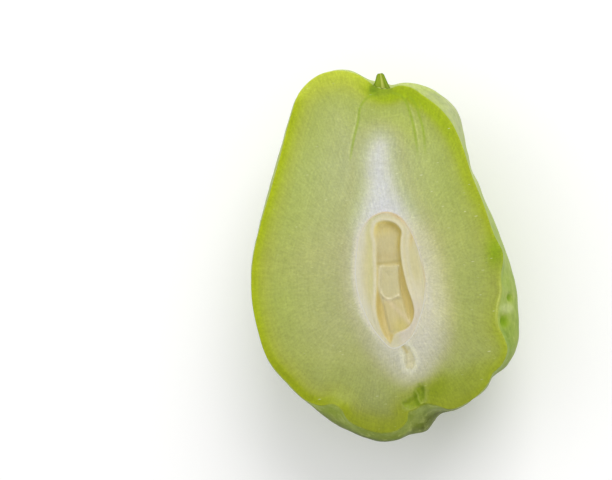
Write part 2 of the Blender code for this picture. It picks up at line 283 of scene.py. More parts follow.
def outward(points):
    """Unit directions away from the fruit's spine."""
    y = np.clip(points[:, 1], *SPINE_ENDS)
    spine = np.stack([axis_x(y), y, np.full(len(y), -WIDEST_DEPTH)], axis=1)
    away = points - spine
    return away / np.linalg.norm(away, axis=1)[:, None]


def plain_ring(angles, cut_radii, widest_radii, depth_share, dome_turn):
    """One ring of the plain skin: depth_share runs 0 to 1 from the cut down to the widest level, then
    dome_turn runs 0 to a quarter turn from there to the pole."""
    swell = math.sin(depth_share * math.pi / 2)
    radii = between(cut_radii, widest_radii, swell) * math.cos(dome_turn)
    ring = round_ring(angles, radii) + np.array(POLE) * (1 - math.cos(dome_turn))
    dome = (BACK_DEPTH - WIDEST_DEPTH) * math.sin(dome_turn)
    depth = WIDEST_DEPTH * depth_share + dome
    thinning = 1 - NECK_THINNING * smoothstep(NECK_FROM, NECK_TO, ring[:, 1])
    return np.column_stack([ring, -depth * thinning])


def skin_rings(angles, cut_radii):
    """(rings of the skin from the back's pole up to the cut's edge, depth in the furrows on each)."""
    widest_radii = radius_at(WIDEST_OUTLINE, angles)
    rings = [
        plain_ring(angles, cut_radii, widest_radii, 1.0, turn)
        for turn in np.linspace(math.pi / 2, 0, DOME_RINGS + 1)
    ]
    rings += [
        plain_ring(angles, cut_radii, widest_radii, share, 0.0)
        for share in np.linspace(1, LIP / WIDEST_DEPTH, SIDE_RINGS + 1)[1:]
    ]
    in_furrow = []
    for ring in rings:
        out, furrow = relief(ring)
        ring += outward(ring) * out[:, None]
        in_furrow.append(furrow)
    lowest = min(ring[:, 2].min() for ring in rings) + FLAT_SPOT
    for ring in rings:
        ring[:, 2] = np.maximum(ring[:, 2], lowest)
    return rings, in_furrow


# ---- The cut face ----

STEM_X = 5.5

SEED_OUTLINE = (
    (2.1, 22.0), (-3.9, 20.9), (-7.6, 17.0), (-10.2, 9.6), (-11.4, -0.1), (-9.9, -9.1),
    (-6.1, -17.5), (-1.9, -22.0), (3.5, -20.2), (8.2, -13.5), (11.4, -3.2), (11.1, 5.6),
    (9.0, 14.5), (5.6, 20.2),
)
POCKET_DEPTH = 10.0
BOWL_FLATNESS, BOWL_STEEPNESS = 2.4, 0.55
MOUTH_RIM = 0.05  # a narrow ring round the pocket's mouth, which keeps its edge crisp

PITH_OUTLINE = (  # the white flesh round the seed and up towards the stem
    (2.6, 46.0), (-0.2, 44.2), (-2.0, 40.6), (-3.0, 36.0), (-3.8, 30.4), (-6.0, 24.6), (-9.2, 17.4),
    (-11.2, 10.0), (-12.2, 2.0), (-12.1, -3.0), (-11.2, -9.0), (-8.7, -14.6), (-5.7, -19.8),
    (-3.2, -24.0), (-0.9, -27.4), (2.2, -29.7), (5.6, -28.9), (9.4, -24.9), (12.6, -19.4),
    (14.4, -11.7), (14.5, -4.3), (13.8, 4.6), (12.2, 12.0), (9.8, 18.5), (7.4, 24.5), (5.6, 30.5),
    (4.8, 36.0), (4.8, 41.0), (4.4, 44.6),
)
VEINS = {  # the strings that run down from the stem
    "vein_left": ((2.9, 61.0), (1.0, 60.3), (-0.9, 59.1), (-2.6, 57.0), (-3.4, 54.1), (-4.3, 51.3),
                  (-5.5, 48.4), (-6.8, 44.6), (-7.9, 41.0)),
    "vein_right": ((8.8, 60.2), (10.7, 59.4), (12.3, 57.8), (13.3, 54.5), (14.0, 50.4), (14.4, 44.0),
                   (14.3, 37.0)),
    "vein_far_right": ((14.4, 57.8), (15.7, 55.6), (16.5, 51.6), (17.1, 47.9), (17.2, 44.0),
                       (16.8, 39.0)),
}
VEIN_FADE_Y = (36.0, 46.0)  # they set in over these heights
VEIN_PALE_Y = (57.0, 54.0)  # and the pale lines beside them over these, downwards
VEIN_PALE_SIDE = {"vein_left": -0.75, "vein_right": 0.85, "vein_far_right": 1.5}  # left is negative
VEIN_PALENESS = {"vein_left": 0.40, "vein_right": 0.30, "vein_far_right": 0.12}
CLEFT_OUTLINE = (  # the green fold where the two halves of the blossom end meet
    (5.0, -34.3), (6.2, -34.8), (6.9, -36.1), (6.6, -37.9), (6.2, -39.6), (4.9, -40.7), (3.4, -41.5),
    (1.7, -41.9), (0.2, -41.6), (-0.9, -40.2), (-0.9, -38.8), (0.2, -38.4), (1.6, -37.8),
    (3.0, -36.7), (3.9, -35.1),
)
CLEFT_CENTRE = (3.8, -38.8)
CLEFT_FOLD = ((3.7, -36.2), (4.1, -37.4), (4.2, -38.7), (4.7, -39.9), (5.6, -40.5))
CLEFT_SHADE = (  # painted shade, darkest either side of the fold: a line, and how much narrower it is
    (((6.1, -35.4), (5.9, -36.6), (5.7, -38.2)), 0.5),
    (((3.9, -37.0), (3.7, -38.3), (4.0, -40.0)), 0.0),
    (((-0.9, -39.2), (-0.8, -39.4), (-0.7, -39.7)), 0.7),
)
CLEFT_DEPTH = 0.8
CLEFT_WALL = (-0.3, 1.6)  # how far inside its outline the wall starts, and ends
RADICLE_OUTLINE = (  # the pocket of the seed's root tip, under the seed
    (1.0, -21.3), (1.4, -23.6), (1.5, -26.1), (1.6, -28.0), (2.4, -29.0), (3.8, -28.6), (4.6, -27.0),
    (4.5, -24.7), (3.7, -22.6), (2.4, -21.2),
)
RADICLE_CENTRE = (2.8, -25.0)
RADICLE_LINE = ((0.9, -21.0), (1.7, -22.1), (2.5, -23.6))
RADICLE_DEPTH = 0.25
RADICLE_WALL = (-0.4, 1.2)
FACE_WAVE_SIZE, FACE_WAVE_HEIGHT, FACE_WAVE_SEED = 5.0, 0.06, 11
FACE_PACKING, FACE_PACKING_POWER = 0.55, 1.8  # how much closer its rings lie near the edge


def face_rings(angles, cut_radii):
    """Rings of the cut face from its edge in to the pocket's mouth, packed closer near the edge."""
    pocket = radius_at(SEED_OUTLINE, angles)
    rings = []
    for share in np.linspace(0, 1, FACE_RINGS + 1):
        packed = between(share, share**FACE_PACKING_POWER, FACE_PACKING)
        rings.append(round_ring(angles, between(cut_radii - LIP, pocket, packed)))
    rings.insert(-1, round_ring(angles, pocket + MOUTH_RIM))
    return rings


def face_level(points):
    """The cut face's small hollows: the cleft and the root tip's pocket."""
    cleft = inside(points, CLEFT_OUTLINE, CLEFT_CENTRE)
    radicle = inside(points, RADICLE_OUTLINE, RADICLE_CENTRE)
    level = -CLEFT_DEPTH * smoothstep(*CLEFT_WALL, cleft)
    level -= RADICLE_DEPTH * smoothstep(*RADICLE_WALL, radicle)
    waves = noise_at(points, FACE_WAVE_SIZE, FACE_WAVE_SEED)
    return level + FACE_WAVE_HEIGHT * (waves - 1.0) / 2


def bowl_depth(share, inset):
    """Depth of the seed's bowl at this share of the way from its middle to its rim."""
    return (POCKET_DEPTH - inset) * (1 - np.minimum(share, 1.0) ** BOWL_FLATNESS) ** BOWL_STEEPNESS


def bowl_rings(angles, inset, top, count):
    """Rings of the seed's bowl, from its rim at the height top down to its lowest point, set in all
    round by inset."""
    radii = radius_at(SEED_OUTLINE, angles) - inset
    rings = []
    for share in np.cos(np.linspace(0, math.pi / 2, count + 1)):
        level = min(top, -bowl_depth(share, inset))
        rings.append(round_ring(angles, radii * share, level))
    return rings


# ---- Meshes ----

INSIDE_BOX = 0.02  # how far the looks stay inside the CAD box, on each side


def ring_mesh(name, rings, fields=None, material_of_ring=None):
    """A closed mesh through the rings, each end closed by a fan to its middle. fields gives named
    values for every point of every ring, which become attributes. A first or last ring whose points
    all meet is that middle itself."""
    count = len(rings[0])
    fields = fields or {}
    kept = [i for i, ring in enumerate(rings) if np.ptp(ring, axis=0).max() > 1e-6]
    loops = [rings[i] for i in kept]
    points = np.concatenate([*loops, [rings[0].mean(axis=0)], [rings[-1].mean(axis=0)]])
    first_middle, last_middle = len(points) - 2, len(points) - 1
    i = np.arange(count)
    j = (i + 1) % count
    faces, slots = [], []
    slot_of = material_of_ring or (lambda ring: 0)
    for k in range(len(loops) - 1):
        low, high = k * count, (k + 1) * count
        faces += np.stack([low + i, low + j, high + j, high + i], axis=1).tolist()
        slots += [slot_of(kept[k])] * count
    last = (len(loops) - 1) * count
    faces += np.stack([np.full(count, first_middle), j, i], axis=1).tolist()
    faces += np.stack([np.full(count, last_middle), last + i, last + j], axis=1).tolist()
    slots += [slot_of(kept[0])] * count + [slot_of(kept[-1])] * count
    mesh = bpy.data.meshes.new(name)
    mesh.from_pydata(placed(points).tolist(), [], faces)
    mesh.polygons.foreach_set("material_index", slots)
    for key, values in fields.items():
        store(mesh, key, [values[n] for n in kept], [values[0], values[-1]])
    if signed_volume(mesh) < 0:
        mesh.flip_normals()
    mesh.shade_smooth()
    return mesh


def store(mesh, key, rows, end_rows):
    """Writes one named value for each point of the mesh: the loops' rows, then the two middles."""
    rows = [np.asarray(row, float) for row in rows]
    ends = [np.asarray(row, float).mean(axis=0, keepdims=True) for row in end_rows]
    values = np.concatenate([*rows, *ends])
    kind = "FLOAT" if values.ndim == 1 else "FLOAT_COLOR"
    attribute = mesh.attributes.new(key, kind, "POINT")
    if values.ndim == 1:
        attribute.data.foreach_set("value", values.astype(np.float32))
    else:
        full = np.column_stack([values, np.ones(len(values))])
        attribute.data.foreach_set("color", full.astype(np.float32).ravel())


def signed_volume(mesh):
    """The mesh's volume, negative where it is inside out."""
    mesh.calc_loop_triangles()
    count = len(mesh.loop_triangles)
    corners = np.empty(count * 3, np.int32)
    mesh.loop_triangles.foreach_get("vertices", corners)
    places = np.empty(len(mesh.vertices) * 3, np.float32)
    mesh.vertices.foreach_get("co", places)
    a, b, c = places.reshape(-1, 3)[corners.reshape(-1, 3)].transpose(1, 0, 2).astype(float)
    return np.einsum("ij,ij->i", a, np.cross(b, c)).sum() / 6


class Placement:
    """Takes design millimetres to the frame's metres, so that the fruit fills its CAD solid's box."""

    scale = np.ones(3)
    shift = np.zeros(3)


def fit_to_frame(rings):
    """Sets the placement from the squash half's own box and its rings."""
    points = np.concatenate(rings)
    low, high = points.min(axis=0), points.max(axis=0)
    box_low, box_high = (np.array(corner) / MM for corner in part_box("squash_half"))
    box_low = box_low + (INSIDE_BOX, INSIDE_BOX, 0.0)
    box_high = box_high - (INSIDE_BOX, INSIDE_BOX, 0.0)
    Placement.scale = (box_high - box_low) / (high - low)
    Placement.shift = box_low - low * Placement.scale


def placed(points):
    return (np.asarray(points) * Placement.scale + Placement.shift) * MM


def shown(name, data):
    """A new object with this mesh, light or camera, in the scene."""
    made = bpy.data.objects.new(name, data)
    bpy.context.scene.collection.objects.link(made)
    return made


def piece(name, mesh, node, materials):
    """Shows the mesh in place of that CAD node."""
    made = shown(name, mesh)
    for material in materials:
        mesh.materials.append(material)
    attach(made, "root")
    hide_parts(node)
    return made


# ---- Materials ----


def rgb(red, green, blue):
    """Linear colour from 8-bit sRGB."""
    return tuple(linear(np.array([red, green, blue], float)))


def linear(colours):
    """Linear colours from 8-bit sRGB ones."""
    values = np.clip(colours, 0, 255) / 255.0
    return np.where(values <= 0.04045, values / 12.92, ((values + 0.055) / 1.055) ** 2.4)


def by_stops(value, stops):
    """Triples along value, each stop given as (value, triple)."""
    at = [place for place, _ in stops]
    channels = zip(*(triple for _, triple in stops))
    return np.column_stack([np.interp(value, at, channel) for channel in channels])


def blend(colour, share, other):
    """The colours moved towards the other by this share, point by point."""
    return between(colour, np.array(other, float), np.clip(share, 0, 1)[:, None])


def bell(value, middle, width):
    """1 at the middle, falling away over the width to either side."""
    return np.exp(-(((value - middle) / width) ** 2))


def spot(x, y, middle, width, flatness=1.0):
    """1 in the middle of a round spot, falling away over its width; flatness squashes it along y."""
    return bell(np.hypot(x - middle[0], (y - middle[1]) * flatness), 0.0, width)


def paint_over(colour, layers):
    """The colours with each layer's own colour laid over them in turn, by that layer's share."""
    for share, other in layers:
        colour = blend(colour, share, other)
    return colour


class Shader:
    """A material's node tree, built by calls that each add one node and return its main output."""

    def __init__(self, name, roughness, specular=0.5):
        self.material = bpy.data.materials.new(name)
        self.material.use_nodes = True
        self.tree = self.material.node_tree
        self.surface = self.tree.nodes["Principled BSDF"]
        self.surface.inputs["Roughness"].default_value = roughness
        self.surface.inputs["Specular IOR Level"].default_value = specular

    def add(self, kind, inputs=None, output=0, **settings):
        made = self.tree.nodes.new(kind)
        for key, value in settings.items():
            setattr(made, key, value)
        for key, value in (inputs or {}).items():
            self.feed(made.inputs[key], value)
        return made.outputs[output]

    def feed(self, socket, value):
        if isinstance(value, bpy.types.NodeSocket):
            self.tree.links.new(value, socket)
        else:
            socket.default_value = value

    def set(self, **inputs):
        for key, value in inputs.items():
            self.feed(self.surface.inputs[key.replace("_", " ")], value)

    def field(self, key, output="Fac"):
        return self.add("ShaderNodeAttribute", output=output, attribute_name=key)

    def place(self):
        """The position on the piece, in metres."""
        return self.add("ShaderNodeTexCoord", output="Object")

    def axis(self, letter):
        return self.add("ShaderNodeSeparateXYZ", {"Vector": self.place()}, output=letter)

    def in_cells(self, size, stretch, turn=0.0, vector=None):
        """The position counted in cells of this size in millimetres, drawn out by stretch."""
        scale = tuple(1 / (size * MM * s) for s in stretch)
        inputs = {"Vector": vector or self.place(), "Scale": scale, "Rotation": (0.0, 0.0, turn)}
        return self.add("ShaderNodeMapping", inputs)

    def noise(self, size, detail=2.0, roughness=0.5, stretch=(1.0, 1.0, 1.0), vector=None):
        """Noise from 0 to 1 with lumps of this size in millimetres, drawn out by stretch."""
        where = self.in_cells(size, stretch, vector=vector)
        inputs = {"Vector": where, "Scale": 1.0, "Detail": detail, "Roughness": roughness}
        return self.add("ShaderNodeTexNoise", inputs)

    def maths(self, operation, a, b=0.0):
        return self.add("ShaderNodeMath", {0: a, 1: b}, operation=operation)

    def times(self, a, b):
        return self.maths("MULTIPLY", a, b)

    def span(self, value, low, high, to_low=0.0, to_high=1.0, smooth=True):
        """value's place between low and high, mapped to the other two."""
        inputs = {"Value": value, "From Min": low, "From Max": high, "To Min": to_low, "To Max": to_high}
        kind = "SMOOTHSTEP" if smooth else "LINEAR"
        return self.add("ShaderNodeMapRange", inputs, interpolation_type=kind)

    def ramp(self, value, low, high, stops):
        """Colours along value, each stop given at its own place between low and high."""
        socket = self.add("ShaderNodeValToRGB", {"Fac": self.span(value, low, high, smooth=False)})
        line = socket.node.color_ramp
        line.interpolation = "EASE"
        shares = [(at - low) / (high - low) for at, _ in stops]
        line.elements[0].position, line.elements[1].position = shares[0], shares[-1]
        for share in shares[1:-1]:
            line.elements.new(share)
        for element, (_, colour) in zip(line.elements, stops):
            element.color = (*rgb(*colour), 1.0)
        return socket

    def mix(self, share, a, b, blend="MIX"):
        node = self.tree.nodes.new("ShaderNodeMix")
        node.data_type = "RGBA"
        node.blend_type = blend
        for index, value in ((0, share), (6, a), (7, b)):
            if isinstance(value, tuple):
                value = (*value, 1.0) if len(value) == 3 else value
            self.feed(node.inputs[index], value)
        return node.outputs[2]

    def tint(self, colour, value, low, high, most, other):
        """The colour moved towards the other where value nears high, by most of the way."""
        return self.mix(self.span(value, low, high, 0.0, most), colour, rgb(*other))

    def shade(self, colour, value, low, high):
        """The colour made darker where value is 0 and lighter where it is 1."""
        level = self.span(value, 0.0, 1.0, low, high, smooth=False)
        grey = self.add("ShaderNodeCombineXYZ", {"X": level, "Y": level, "Z": level})
        return self.mix(1.0, colour, grey, "MULTIPLY")

    def bump(self, height, distance, strength, normal=None):
        """Small unevenness, this many millimetres high."""
        inputs = {"Height": height, "Distance": distance * MM, "Strength": strength}
        if normal is not None:
            inputs["Normal"] = normal
        return self.add("ShaderNodeBump", inputs)

    def translucent(self, weight, radius):
        """Light travels this many millimetres, for red, green and blue, under the surface."""
        self.surface.inputs["Subsurface Weight"].default_value = weight
        self.surface.inputs["Subsurface Radius"].default_value = radius
        self.surface.inputs["Subsurface Scale"].default_value = MM


# ---- The flesh's finish ----

FLESH_BY_EDGE = (  # by distance from the cut's edge, at the height of the neck's start
    (0.0, (166, 182, 24)), (0.8, (168, 184, 8)), (1.6, (168, 184, 30)), (3.0, (170, 183, 58)),
    (5.0, (171, 182, 79)), (8.0, (171, 183, 94)), (12.0, (174, 185, 104)), (16.0, (177, 186, 114)),
    (22.0, (179, 186, 124)), (28.0, (180, 185, 132)),
)
FLESH_TONE_AND_SHADE_BY_HEIGHT = (  # how much of each channel is left, from the blossom end up to the stem: partly the flesh's own colour, partly painted shade that darkens it towards the blossom end
    (-46.0, (0.76, 0.75, 0.72)), (-36.0, (0.865, 0.85, 0.90)), (-22.0, (0.920, 0.905, 0.88)),
    (-2.0, (0.93, 0.93, 0.86)), (11.0, (0.96, 0.945, 0.92)), (24.0, (0.955, 0.955, 0.935)),
    (40.0, (0.97, 0.97, 1.02)), (58.0, (0.97, 0.97, 0.96)), (70.0, (1.01, 1.00, 0.82)),
)
PITH_TOP = (  # by distance into the white flesh, above the seed
    (-9.0, (177, 183, 120)), (-5.0, (180, 184, 126)), (-3.0, (182, 188, 136)), (-1.0, (190, 195, 156)),
    (1.0, (204, 206, 186)), (3.0, (208, 210, 202)), (6.0, (210, 211, 209)),
)
PITH_LEFT = (
    (-9.0, (171, 176, 112)), (-5.0, (176, 178, 124)), (-2.5, (181, 181, 134)), (-1.0, (186, 187, 144)),
    (0.0, (199, 198, 168)), (1.0, (209, 206, 184)),
)
PITH_RIGHT = (
    (-9.0, (178, 182, 110)), (-5.0, (185, 186, 124)), (-3.0, (190, 190, 137)), (-1.0, (198, 197, 155)),
    (1.0, (203, 201, 166)), (3.0, (206, 203, 178)),
)
PITH_LOW = (
    (-9.0, (162, 165, 106)), (-5.0, (175, 174, 132)), (-3.0, (180, 180, 144)), (-1.0, (188, 187, 158)),
    (1.0, (193, 192, 169)), (3.0, (198, 196, 176)),
)
PITH_FADE = (-9.0, -2.0)  # distances into the white flesh over which it sets in
PITH_LEVEL = 0.965
MOUTH_PAINTED_LIGHT = (0.04, 0.03, 0.02)  # painted light: the flesh beside the pocket is this much lighter, which offsets the shade at the gap round the seed
MOUTH_PAINTED_LIGHT_FROM, MOUTH_PAINTED_LIGHT_TO = 1.1, 0.1
FIBRES_ROUND, FIBRE_LENGTH = 60.0, 2.2  # how fine the fibres out from the seed are, and how long
FIBRE_STRETCH = 0.62  # their fan is longer than it is wide
ARCS_ROUND, ARC_WIDTH = 3.5, 0.7  # the same for the arcs along the cut's edge


def flesh_paint(flat, edge, pith, mouth):
    """The flesh's colours: bright green at the skin, paler inwards, white round the seed, darker towards
    the blossom end partly as painted shade, with painted light beside the seed's pocket.
    """
    x, y = flat.T
    right = smoothstep(-6.0, 9.0, x)
    # the flesh's own colour by the edge, times painted shade that darkens it towards the blossom end
    colour = by_stops(edge, FLESH_BY_EDGE) * by_stops(y, FLESH_TONE_AND_SHADE_BY_HEIGHT)
    colour = paint_over(colour, rim_layers(x, y, edge, right))
    colour = paint_over(colour, blossom_end_layers(x, y, edge, right))
    colour = paint_over(colour, right_edge_layers(x, y, edge))
    colour = paint_over(colour, stem_layers(x, y))
    colour = blend(colour, smoothstep(*PITH_FADE, pith), white_flesh(y, pith, right))
    # painted light beside the pocket's mouth, which offsets the shade at the gap round the seed
    by_mouth = smoothstep(MOUTH_PAINTED_LIGHT_FROM, MOUTH_PAINTED_LIGHT_TO, mouth)
    return colour * (1 + np.outer(by_mouth, MOUTH_PAINTED_LIGHT))


def rim_layers(x, y, edge, right):
    """(share, colour) of the green along the cut's edge, deeper on the right, and inwards of it."""
    middle_right = bell(y, -7.0, 17.0) * smoothstep(12.0, 24.0, x) * smoothstep(1.0, 3.0, edge)
    crown = (1 - right) * smoothstep(60.0, 66.0, y)
    return (
        (0.30 * right * smoothstep(14.0, 3.0, edge), (144, 156, 84)),
        (0.16 * middle_right, (154, 157, 112)),
        (0.80 * right * bell(edge, 2.4, 2.2) * smoothstep(30.0, 50.0, y), (154, 176, 8)),
        (0.75 * right * bell(edge, 2.2, 2.4) * smoothstep(52.0, 58.0, y), (152, 175, 0)),
        (0.30 * right * bell(edge, 14.0, 6.0) * bell(y, 49.0, 8.0), (170, 182, 60)),
        (0.50 * right * bell(edge, 2.2, 1.6) * bell(y, 30.0, 10.0), (158, 174, 20)),
        (0.70 * crown * bell(edge, 0.0, 4.0), (192, 203, 84)),
    )


def blossom_end_layers(x, y, edge, right):
    """(share, colour) of the blossom end: deep green by the cleft and the edge, one paler place left."""
    low_left = smoothstep(-14.0, -24.0, y) * smoothstep(-12.0, -20.0, x)
    return (
        (0.85 * low_left * bell(edge, 1.3, 1.1), (136, 150, 0)),
        (0.55 * right * smoothstep(-27.0, -35.0, y) * bell(edge, 6.0, 6.0), (132, 146, 24)),
        (0.80 * spot(x, y, (9.2, -36.2), 5.8, 1.1), (126, 142, 14)),
        (0.60 * spot(x, y, (-21.5, -35.5), 5.0, 1.6), (168, 178, 92)),
        (0.70 * smoothstep(-37.0, -43.0, y) * smoothstep(7.0, 2.0, edge), (136, 146, 34)),
    )


def right_edge_layers(x, y, edge):
    """(share, colour) of the right edge: a deep green corner, and below it a thin pale line."""
    far_right = smoothstep(20.0, 30.0, x)
    pale_line = bell(edge, 0.5, 0.5) * bell(y, -11.0, 9.0) * far_right
    inwards = smoothstep(4.5, 1.5, edge) * bell(y, -8.0, 11.0) * far_right
    return (
        (0.95 * spot(x, y, (35.6, 3.6), 3.0, 0.62), (126, 156, 0)),
        (0.70 * pale_line, (190, 198, 120)),
        (0.70 * inwards * (1 - pale_line), (148, 155, 76)),
    )


def stem_layers(x, y):
    """(share, colour) of the deeper green round the stem's foot, with painted shade just under the stub
    and darkest in the pit left of it.
    """
    foot = CUT_OUTLINE[0][1]
    near = smoothstep(5.5, 1.5, np.hypot(x - STEM_X, (y - foot) * 1.4))
    under = smoothstep(2.4, 0.5, foot - y) * smoothstep(4.4, 2.6, np.abs(x - STEM_X))
    return (
        (0.70 * near, (146, 166, 48)),
        # painted shade just under the stem's foot
        (0.55 * under, (126, 150, 16)),
        # painted shade in the pit left of the stem's foot
        (0.80 * spot(x, y, (2.6, 62.3), 1.6), (104, 134, 4)),
    )


def white_flesh(y, pith, right):
    """The white flesh's colours, which differ on each side of the seed, above it and below it."""
    high, low = smoothstep(12.0, 24.0, y), smoothstep(-12.0, -24.0, y)
    sides = ((right, PITH_RIGHT), (high, PITH_TOP), (low, PITH_LOW))
    layers = [(share, by_stops(pith, stops)) for share, stops in sides]
    return paint_over(by_stops(pith, PITH_LEFT), layers) * PITH_LEVEL


def fibre_way(flat):
    """A stand-in position in which the flesh's radiating fibres are round lumps."""
    x, y = flat[:, 0], flat[:, 1] * FIBRE_STRETCH
    away = np.hypot(x, y)
    turn = np.stack([x, y], axis=1) / np.maximum(away, 1.0)[:, None]
    return np.column_stack([turn * FIBRES_ROUND, away / FIBRE_LENGTH]) * MM


def arc_way(flat, edge):
    """The same for the faint arcs that follow the cut's edge."""
    turn = flat / np.maximum(np.hypot(*flat.T), 1.0)[:, None]
    return np.column_stack([turn * ARCS_ROUND, edge / ARC_WIDTH]) * MM


def flesh_material():
    s = Shader("squash_flesh", roughness=0.45, specular=0.2)
    grain = s.noise(0.7, detail=3.0, roughness=0.65)
    cloud = s.noise(5.0, detail=5.0, roughness=0.65)
    fibre = s.noise(1.0, detail=2.0, vector=s.field("fibre_way", "Vector"))
    arcs = s.noise(1.0, detail=3.0, vector=s.field("arc_way", "Vector"))
    colour = s.field("paint", "Color")
    colour = s.shade(colour, cloud, 0.88, 1.12)
    colour = radicle_colour(s, colour)
    colour = vein_colour(s, colour)
    colour = cleft_colour(s, colour)
    colour = s.shade(colour, grain, 0.75, 1.25)
    colour = s.shade(colour, arcs, 0.88, 1.12)
    colour = s.shade(colour, fibre, 0.84, 1.16)
    colour = flecks(s, colour)
    fine = s.bump(grain, 0.08, 0.5)
    fine = s.bump(arcs, 0.05, 0.4, fine)
    s.set(Base_Color=colour, Normal=s.bump(fibre, 0.08, 0.5, fine))
    s.translucent(0.25, (2.5, 2.2, 0.8))
    return s.material


def between_heights(s, start, end):
    """0 at the first height on the fruit, 1 at the second."""
    return s.span(s.axis("Y"), *(placed([0.0, y, 0.0])[1] for y in (start, end)))


def vein_colour(s, colour):
    """Draws the strings from the stem, each a dark line with a pale one beside it."""
    fade = between_heights(s, *VEIN_FADE_Y)
    broken = s.span(s.noise(2.5), 0.35, 0.65, 0.25, 1.0)
    pale_fade = s.times(s.times(between_heights(s, *VEIN_PALE_Y), fade), broken)
    for key in VEINS:
        gap = s.field(key)
        dark = s.times(s.span(s.maths("ABSOLUTE", gap), 0.75, 0.05), fade)
        beside = s.maths("ABSOLUTE", s.maths("ADD", gap, -VEIN_PALE_SIDE[key]))
        pale = s.times(s.span(beside, 0.50, 0.08), pale_fade)
        colour = s.mix(s.times(pale, VEIN_PALENESS[key]), colour, rgb(206, 214, 138))
        colour = s.mix(s.times(dark, 0.60), colour, rgb(140, 166, 30))
    return colour


def cleft_colour(s, colour):
    """The fold at the blossom end, with a torn outline: the skin's green where it folds in, with painted
    shade darkest either side of the fold.
    """
    torn = s.span(s.noise(1.3, detail=3.0), 0.2, 0.8, -0.7, 0.7, smooth=False)
    depth = s.maths("ADD", s.field("cleft"), torn)
    colour = s.tint(colour, depth, -1.4, 0.3, 0.85, (138, 150, 58))
    colour = s.tint(colour, depth, 0.0, 1.0, 0.9, (130, 148, 24))
    # painted shade either side of the fold
    dark = s.maths("ADD", s.field("cleft_shade"), s.times(torn, 0.4))
    colour = s.tint(colour, dark, 1.6, 0.3, 0.92, (106, 128, 0))
    return s.tint(colour, s.field("cleft_fold"), 0.55, 0.1, 0.5, (160, 172, 72))


def radicle_colour(s, colour):
    """The root tip's pocket: a white border, a thin dark outline and a cream middle."""
    torn = s.span(s.noise(0.9, detail=3.0, stretch=(1.0, 2.5, 1.0)), 0.2, 0.8, -0.5, 0.5, smooth=False)
    depth = s.maths("ADD", s.field("radicle"), torn)
    white = s.times(s.span(depth, -2.2, -0.6), s.span(depth, 0.2, -0.3))
    colour = s.mix(s.times(white, 0.85), colour, rgb(204, 203, 178))
    colour = s.tint(colour, depth, -0.4, 0.4, 0.65, (188, 183, 138))
    colour = s.tint(colour, depth, 0.1, 0.9, 0.9, (198, 193, 156))
    return s.tint(colour, s.field("radicle_line"), 0.8, 0.1, 0.7, (180, 168, 116))


def flecks(s, colour):
    """Scattered short pale flecks, most of them to the right: partly pale fibres, partly painted glints
    on the wet cut.
    """
    least = s.span(s.axis("X"), -30 * MM, 30 * MM, 0.80, 0.55)
    for turn, size in ((0.25, 2.0), (-0.30, 2.8)):
        where = s.in_cells(size, (2.0, 0.6, 1.0), turn)
        cells = s.add("ShaderNodeTexVoronoi", {"Vector": where, "Scale": 1.0})
        chosen = s.add("ShaderNodeSeparateColor", {"Color": cells.node.outputs["Color"]})
        fleck = s.times(s.span(cells, 0.14, 0.02), s.span(chosen, least, 1.1, 0.0, 0.75))
        colour = s.mix(fleck, colour, rgb(222, 226, 186))
    return colour


# ---- The skin's finish ----

SKIN_TONE_AND_SHADE_BY_HEIGHT = (  # darker towards the blossom end: partly the skin's own deeper green there, partly painted shade
    (-50.0, (114, 130, 22)), (-36.0, (132, 152, 42)), (-20.0, (134, 156, 62)), (0.0, (142, 162, 74)),
    (30.0, (158, 174, 98)), (55.0, (166, 180, 102)), (70.0, (168, 184, 92)),
)
SKIN_UNDERSIDE_SHADE = (84, 98, 18)  # painted shade below the widest level at the blossom end
SKIN_LIMB_SHADE = (0.20, 0.20, 0.40)  # painted shade round the widest level there, this much darker
SKIN_PATCHES = (  # middle, reach and colour of the places that differ, some of them painted shade, and how much they do
    # by the dimples at the right edge, with painted shade in the two dimples and in a crescent below
    # them
    ((36.8, -10.4, -5.0), (1.9, 1.5, 3.0), (130, 156, 20), 0.75),
    ((35.8, -13.8, -4.0), (3.4, 1.8, 5.0), (182, 192, 138), 0.75),
    ((34.6, -23.4, -3.0), (2.6, 5.0, 4.0), (118, 144, 42), 0.85),
    ((34.6, -17.8, -2.5), (2.6, 2.4, 3.6), (134, 164, 0), 0.95),
    ((37.4, -5.0, -3.0), (2.6, 3.6, 4.0), (140, 166, 52), 0.50),
    # right of the middle lobe at the blossom end, the darkest of them painted shade
    ((6.0, -44.0, -5.0), (7.0, 4.0, 8.0), (120, 134, 66), 0.75),
    ((13.5, -43.2, -2.5), (3.6, 1.8, 3.5), (90, 102, 42), 0.80),
    ((5.5, -42.4, -0.8), (5.0, 1.6, 2.4), (148, 162, 88), 0.80),
    ((9.0, -43.6, -5.0), (4.0, 2.0, 5.0), (138, 150, 92), 0.75),
    # on the right shoulder
    ((28.0, 52.0, -6.0), (6.0, 12.0, 8.0), (168, 176, 134), 0.70),
    ((14.0, 64.0, -1.0), (3.0, 2.0, 2.5), (184, 200, 84), 0.60),
    ((22.5, 57.5, -2.5), (5.0, 3.5, 4.0), (148, 158, 112), 0.75),
)


